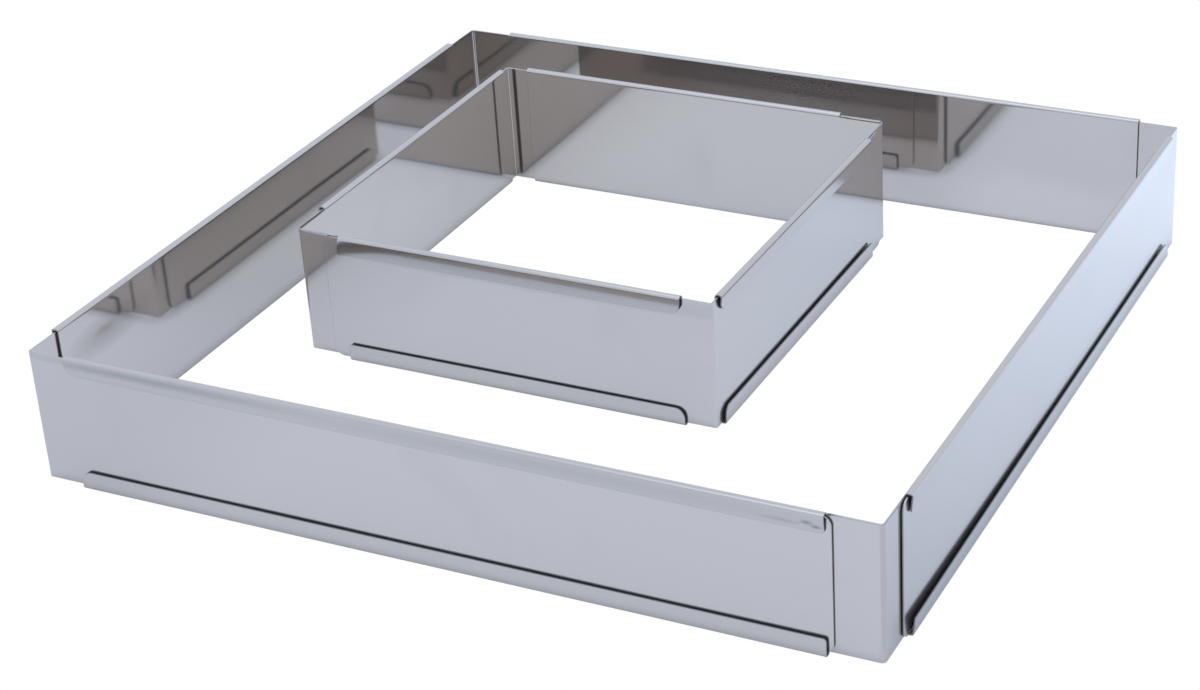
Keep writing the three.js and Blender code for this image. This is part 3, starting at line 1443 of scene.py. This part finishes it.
@dataclass(frozen=True)
class PhotoCamera:
    """The camera, by where the large ring's middle lies in its view."""

    azimuth: float = math.radians(26.1)
    elevation: float = math.radians(28.34)
    roll: float = math.radians(2.69)
    ring_right: float = -20.1 * MM
    ring_down: float = 3.35 * MM
    ring_ahead: float = 1003.8 * MM
    lens: float = 80.16
    shift: float = -0.0833
    sensor: float = 36.0
    nearest: float = 0.05

    def axes(self) -> tuple[Vector, Vector, Vector]:
        """The directions to the right, down and ahead in the view."""
        sin_a, cos_a = math.sin(self.azimuth), math.cos(self.azimuth)
        sin_e, cos_e = math.sin(self.elevation), math.cos(self.elevation)
        level_right = Vector((cos_a, sin_a, 0.0))
        level_down = Vector((sin_e * sin_a, -sin_e * cos_a, -cos_e))
        ahead = Vector((-sin_a * cos_e, cos_a * cos_e, -sin_e))
        right = level_right * math.cos(self.roll) + level_down * math.sin(self.roll)
        down = level_down * math.cos(self.roll) - level_right * math.sin(self.roll)
        return right, down, ahead

    def build(self) -> bpy.types.Object:
        """Makes the camera and sets it as the scene's.

        Returns:
            The camera.
        """
        right, down, ahead = self.axes()
        data = bpy.data.cameras.new("camera")
        data.lens = self.lens
        data.sensor_width = self.sensor
        data.shift_x = self.shift
        data.clip_start = self.nearest
        camera = bpy.data.objects.new("camera", data)
        bpy.context.scene.collection.objects.link(camera)
        place = -(right * self.ring_right + down * self.ring_down + ahead * self.ring_ahead)
        turn = Matrix((right, -down, -ahead)).transposed().to_4x4()
        camera.matrix_world = Matrix.Translation(place) @ turn
        bpy.context.scene.camera = camera
        return camera


@dataclass(frozen=True)
class SoftBox:
    """A large soft light that faces the middle of the rings."""

    name: str
    place: Spot
    width: float
    power: float
    colour: Colour

    def build(self) -> bpy.types.Object:
        """Makes the light.

        Returns:
            The light.
        """
        data = bpy.data.lights.new(self.name, "AREA")
        data.shape = "SQUARE"
        data.size = self.width
        data.energy = self.power
        data.color = self.colour
        light = bpy.data.objects.new(self.name, data)
        light.visible_camera = False
        light.visible_glossy = False
        light.location = self.place
        light.rotation_euler = Vector(self.place).to_track_quat("Z", "Y").to_euler()
        bpy.context.scene.collection.objects.link(light)
        return light


@dataclass(frozen=True)
class GlowZone:
    """A part of the floor whose glow is tinted, brighter or dimmer, as painted light and shade; it
    comes in from each side as a ramp.
    """

    glow: Colour
    left: Point
    right: Point
    front: Point
    back: Point

    def mask(self, x: Formula, y: Formula) -> Formula:
        """How much of the zone's glow is at a point of the floor.

        Args:
            x: The point's place from left to right.
            y: The point's place from front to back.

        Returns:
            One inside the zone and nought outside it.
        """
        across = x.ramp(*self.left) * x.ramp(*self.right)
        return across * y.ramp(*self.front) * y.ramp(*self.back)


@dataclass(frozen=True)
class Studio:
    """A light table for a floor, under soft light from above."""

    floor_width: float = 12.0
    floor_drop: float = 0.05 * MM
    floor_paint: Colour = (0.23, 0.23, 0.23)
    floor_glow: Colour = (0.74, 0.885, 1.12)
    zones: tuple[GlowZone, ...] = (
        # Painted shade: dimmer and warmer to the left and inside the small ring
        GlowZone(
            (0.72, 0.855, 1.03),
            left=in_mm(-170, -160),
            right=in_mm(60, -20),
            front=in_mm(-60, 0),
            back=in_mm(123, 119),
        ),
        # Painted light: brighter and bluer behind the small ring
        GlowZone(
            (0.95, 1.3, 1.85),
            left=in_mm(-105, -55),
            right=in_mm(28, -12),
            front=in_mm(118, 126),
            back=in_mm(165, 158),
        ),
        # Painted pool of light in the large ring's back right corner
        GlowZone(
            (0.815, 0.985, 1.25),
            left=in_mm(50, 75),
            right=in_mm(158, 150),
            front=in_mm(100, 130),
            back=in_mm(165, 158),
        ),
    )
    # Painted light and shade on the floor's glow: to the right, dimmer at the front and brighter
    # towards the back; to the left, dimmer
    right_edge: Point = (150 * MM, 165 * MM)
    right_run: Point = (-130 * MM, 200 * MM)
    right_levels: Point = (0.77, 1.42)
    left_edge: Point = (-90 * MM, -150 * MM)
    left_level: float = 0.88
    # Painted contact shade: the glow dims within this reach of the rings
    shade_reach: float = 6 * MM
    shade_depth: float = 0.9
    sky_colour: Colour = (1.0, 1.18, 1.45)
    sky_level: float = 1.0
    lamp_level: float = 1.65
    lamp_height: Point = (0.75, 0.9)
    lamp_start: Point = (-0.5, -0.32)
    lights: tuple[SoftBox, ...] = (
        SoftBox("window_light", (0.9, 1.3, 0.8), 1.0, 6.0, (0.9, 0.95, 1.0)),
    )

    def glow(self, tree: Tree) -> Socket:
        """The floor's glow, with painted light and shade: tinted zones, brighter to the right,
        dimmer to the left and darker close to the rings.

        Args:
            tree: The tree of the floor's material.

        Returns:
            The socket that gives the glow.
        """
        place = tree.nodes.new("ShaderNodeTexCoord")
        x, y, _ = split(tree, place.outputs["Object"])
        tint: Socket | Colour = self.floor_glow
        for zone in self.zones:
            tint = blended(tree, tint, zone.glow, zone.mask(x, y))
        # Painted light and shade at either side
        near, far = self.right_levels
        right_level = y.ramp(*self.right_run) * (far - near) + near
        right_side = x.ramp(*self.right_edge) * (right_level - 1.0)
        left_side = x.ramp(*self.left_edge) * (self.left_level - 1.0)
        # Painted contact shade: the glow dims by ambient occlusion near the rings
        shade = tree.nodes.new("ShaderNodeAmbientOcclusion")
        shade.inputs["Distance"].default_value = self.shade_reach
        openness = Formula(tree, shade.outputs["AO"]) * self.shade_depth + (1.0 - self.shade_depth)
        glow = tree.nodes.new("ShaderNodeEmission")
        tree.links.new(tint, glow.inputs["Color"])
        (openness * (right_side + left_side + 1.0)).feed(glow.inputs["Strength"])
        return glow.outputs[0]

    def floor_material(self) -> bpy.types.Material:
        """The floor's material: white in the picture, with a cool glow where the steel mirrors it.

        Returns:
            The material.
        """
        material = bpy.data.materials.new("light_table")
        material.use_nodes = True
        tree = material.node_tree
        tree.nodes.clear()
        paint = tree.nodes.new("ShaderNodeBsdfDiffuse")
        paint.inputs["Color"].default_value = (*self.floor_paint, 1.0)
        table = tree.nodes.new("ShaderNodeAddShader")
        tree.links.new(self.glow(tree), table.inputs[0])
        tree.links.new(paint.outputs[0], table.inputs[1])
        white = tree.nodes.new("ShaderNodeEmission")
        rays = tree.nodes.new("ShaderNodeLightPath")
        seen = tree.nodes.new("ShaderNodeMixShader")
        tree.links.new(rays.outputs["Is Camera Ray"], seen.inputs[0])
        tree.links.new(table.outputs[0], seen.inputs[1])
        tree.links.new(white.outputs[0], seen.inputs[2])
        output = tree.nodes.new("ShaderNodeOutputMaterial")
        tree.links.new(seen.outputs[0], output.inputs["Surface"])
        return material

    def floor(self) -> bpy.types.Object:
        """Lays the floor.

        Returns:
            The floor.
        """
        half = self.floor_width / 2
        corners = [(-half, -half), (half, -half), (half, half), (-half, half)]
        mesh = bpy.data.meshes.new("floor")
        mesh.from_pydata([(x, y, -self.floor_drop) for x, y in corners], [], [(0, 1, 2, 3)])
        mesh.materials.append(self.floor_material())
        floor = bpy.data.objects.new("floor", mesh)
        bpy.context.scene.collection.objects.link(floor)
        return floor

    def sky(self) -> None:
        """Sets the light around the scene: an even sky with a wide lamp overhead, to the right."""
        world = bpy.data.worlds.new("studio")
        world.use_nodes = True
        tree = world.node_tree
        background = tree.nodes["Background"]
        background.inputs["Color"].default_value = (*self.sky_colour, 1.0)
        direction = tree.nodes.new("ShaderNodeTexCoord")
        right, _, up = split(tree, direction.outputs["Generated"])
        lamp = up.ramp(*self.lamp_height) * right.ramp(*self.lamp_start)
        level = lamp * (self.lamp_level - self.sky_level) + self.sky_level
        level.feed(background.inputs["Strength"])
        bpy.context.scene.world = world

    def build(self) -> None:
        """Sets up the floor, the lights and how the picture is shown."""
        self.floor()
        self.sky()
        for light in self.lights:
            light.build()
        bpy.context.scene.view_settings.view_transform = "Standard"
        bpy.context.scene.view_settings.look = "None"


def main() -> None:
    """Builds the camera, the studio and both rings."""
    logging.basicConfig(level=logging.INFO, format="%(name)s: %(message)s")
    PhotoCamera().build()
    Studio().build()
    shop = Workshop()
    rings = (
        CakeRing(
            "large",
            (Place.FRONT_RIGHT, Place.BACK_LEFT),
            flares={Place.FRONT_RIGHT: Flare(opening=0.9 * MM, length=200 * MM)},
            arm_changes={Place.FRONT_RIGHT: 1.2 * MM, Place.BACK_LEFT: -2.5 * MM},
        ),
        CakeRing(
            "small",
            (Place.FRONT_LEFT, Place.BACK_RIGHT),
            channel=Channel(fold_radius=0.7 * MM),
            flares={
                Place.FRONT_LEFT: Flare(
                    opening=1.0 * MM, roll=math.radians(15), length=26 * MM, edge_side=1
                )
            },
            arm_changes={Place.FRONT_LEFT: -2.0 * MM},
            first_seed=9.0,
        ),
    )
    for ring in rings:
        pieces = ring.make(shop)
        LOG.info("%s ring has %d corners", ring.name, len(pieces))


if __name__ == "__main__":
    main()
